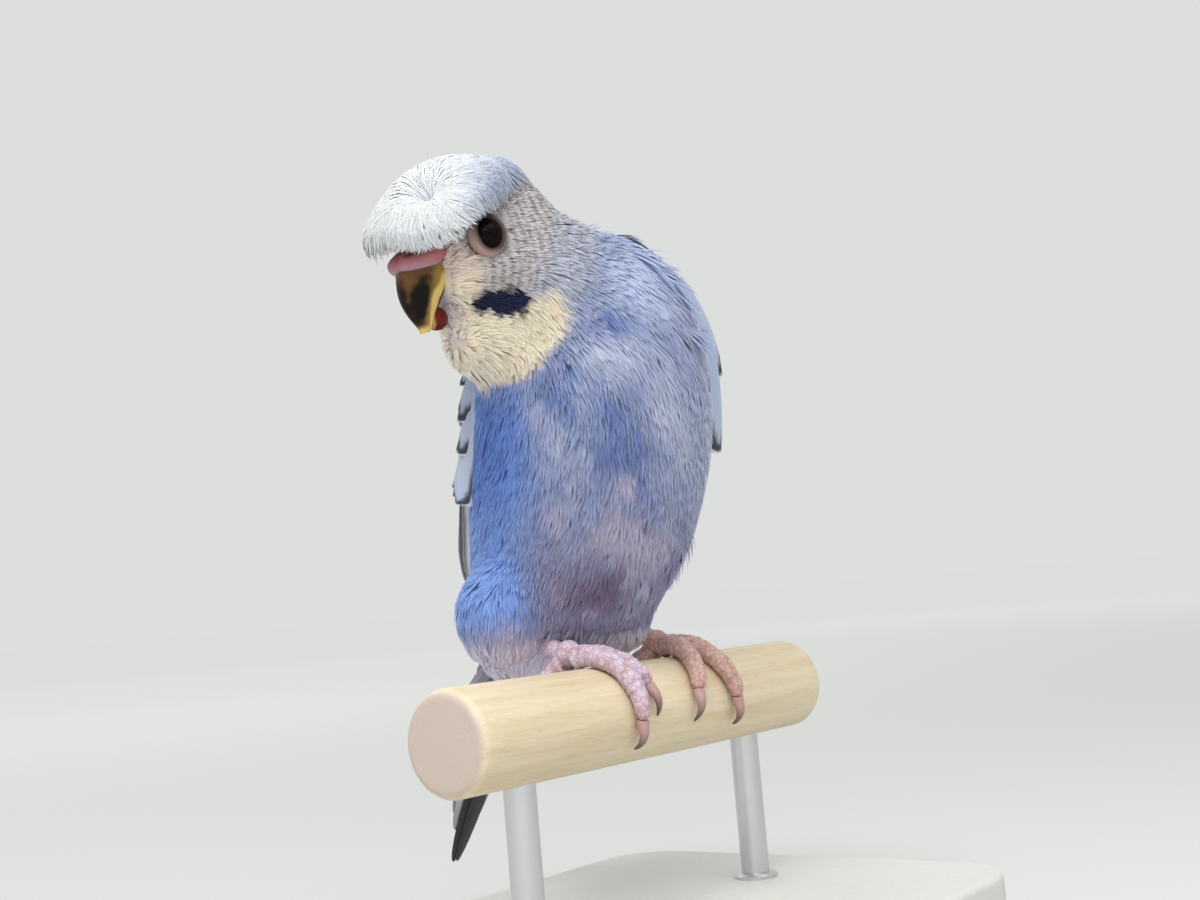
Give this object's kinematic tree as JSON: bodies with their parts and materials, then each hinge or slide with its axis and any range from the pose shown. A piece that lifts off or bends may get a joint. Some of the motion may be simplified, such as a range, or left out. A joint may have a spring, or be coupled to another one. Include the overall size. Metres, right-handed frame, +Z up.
{
  "type": "crested budgerigar on a perch",
  "caption": "Life-size still model of a young crested blue budgerigar gripping a cut length of dowel, held over a flat base by two short rods.",
  "frame": {"origin": "the middle of the stand base's flat underside", "axes": "+Z up; +X along the perch towards the bird's left foot; the toes point to -Y"},
  "size_m": [0.104, 0.0982, 0.1329],
  "materials": {
    "head_feathers": "satin",
    "crest_feathers": "satin",
    "body_feathers": "satin",
    "wing_feathers": "satin",
    "tail_feathers": "satin",
    "cere_skin": "satin",
    "bill_horn": "gloss",
    "lower_bill_horn": "gloss",
    "eye_surface": "gloss",
    "foot_scales": "satin",
    "claw_horn": "satin",
    "perch_wood": "matte",
    "stand_wood": "satin",
    "stand_steel": "satin"
  },
  "bodies": {
    "root": {"head": "head_feathers", "neck": "head_feathers", "crest": "crest_feathers", "torso": "body_feathers", "thigh_left": "body_feathers", "thigh_right": "body_feathers", "wing_left": "wing_feathers", "wing_right": "wing_feathers", "tail": "tail_feathers", "cere": "cere_skin", "bill_upper": "bill_horn", "bill_lower": "lower_bill_horn", "eye_left": "eye_surface", "eye_right": "eye_surface", "foot_left": "foot_scales", "foot_right": "foot_scales", "claw_left_outer_front": "claw_horn", "claw_left_inner_front": "claw_horn", "claw_left_outer_rear": "claw_horn", "claw_left_inner_rear": "claw_horn", "claw_right_outer_front": "claw_horn", "claw_right_inner_front": "claw_horn", "claw_right_outer_rear": "claw_horn", "claw_right_inner_rear": "claw_horn", "perch": "perch_wood", "stand_base": "stand_wood", "stand_rod_left": "stand_steel", "stand_rod_right": "stand_steel"}
  },
  "joints": []
}
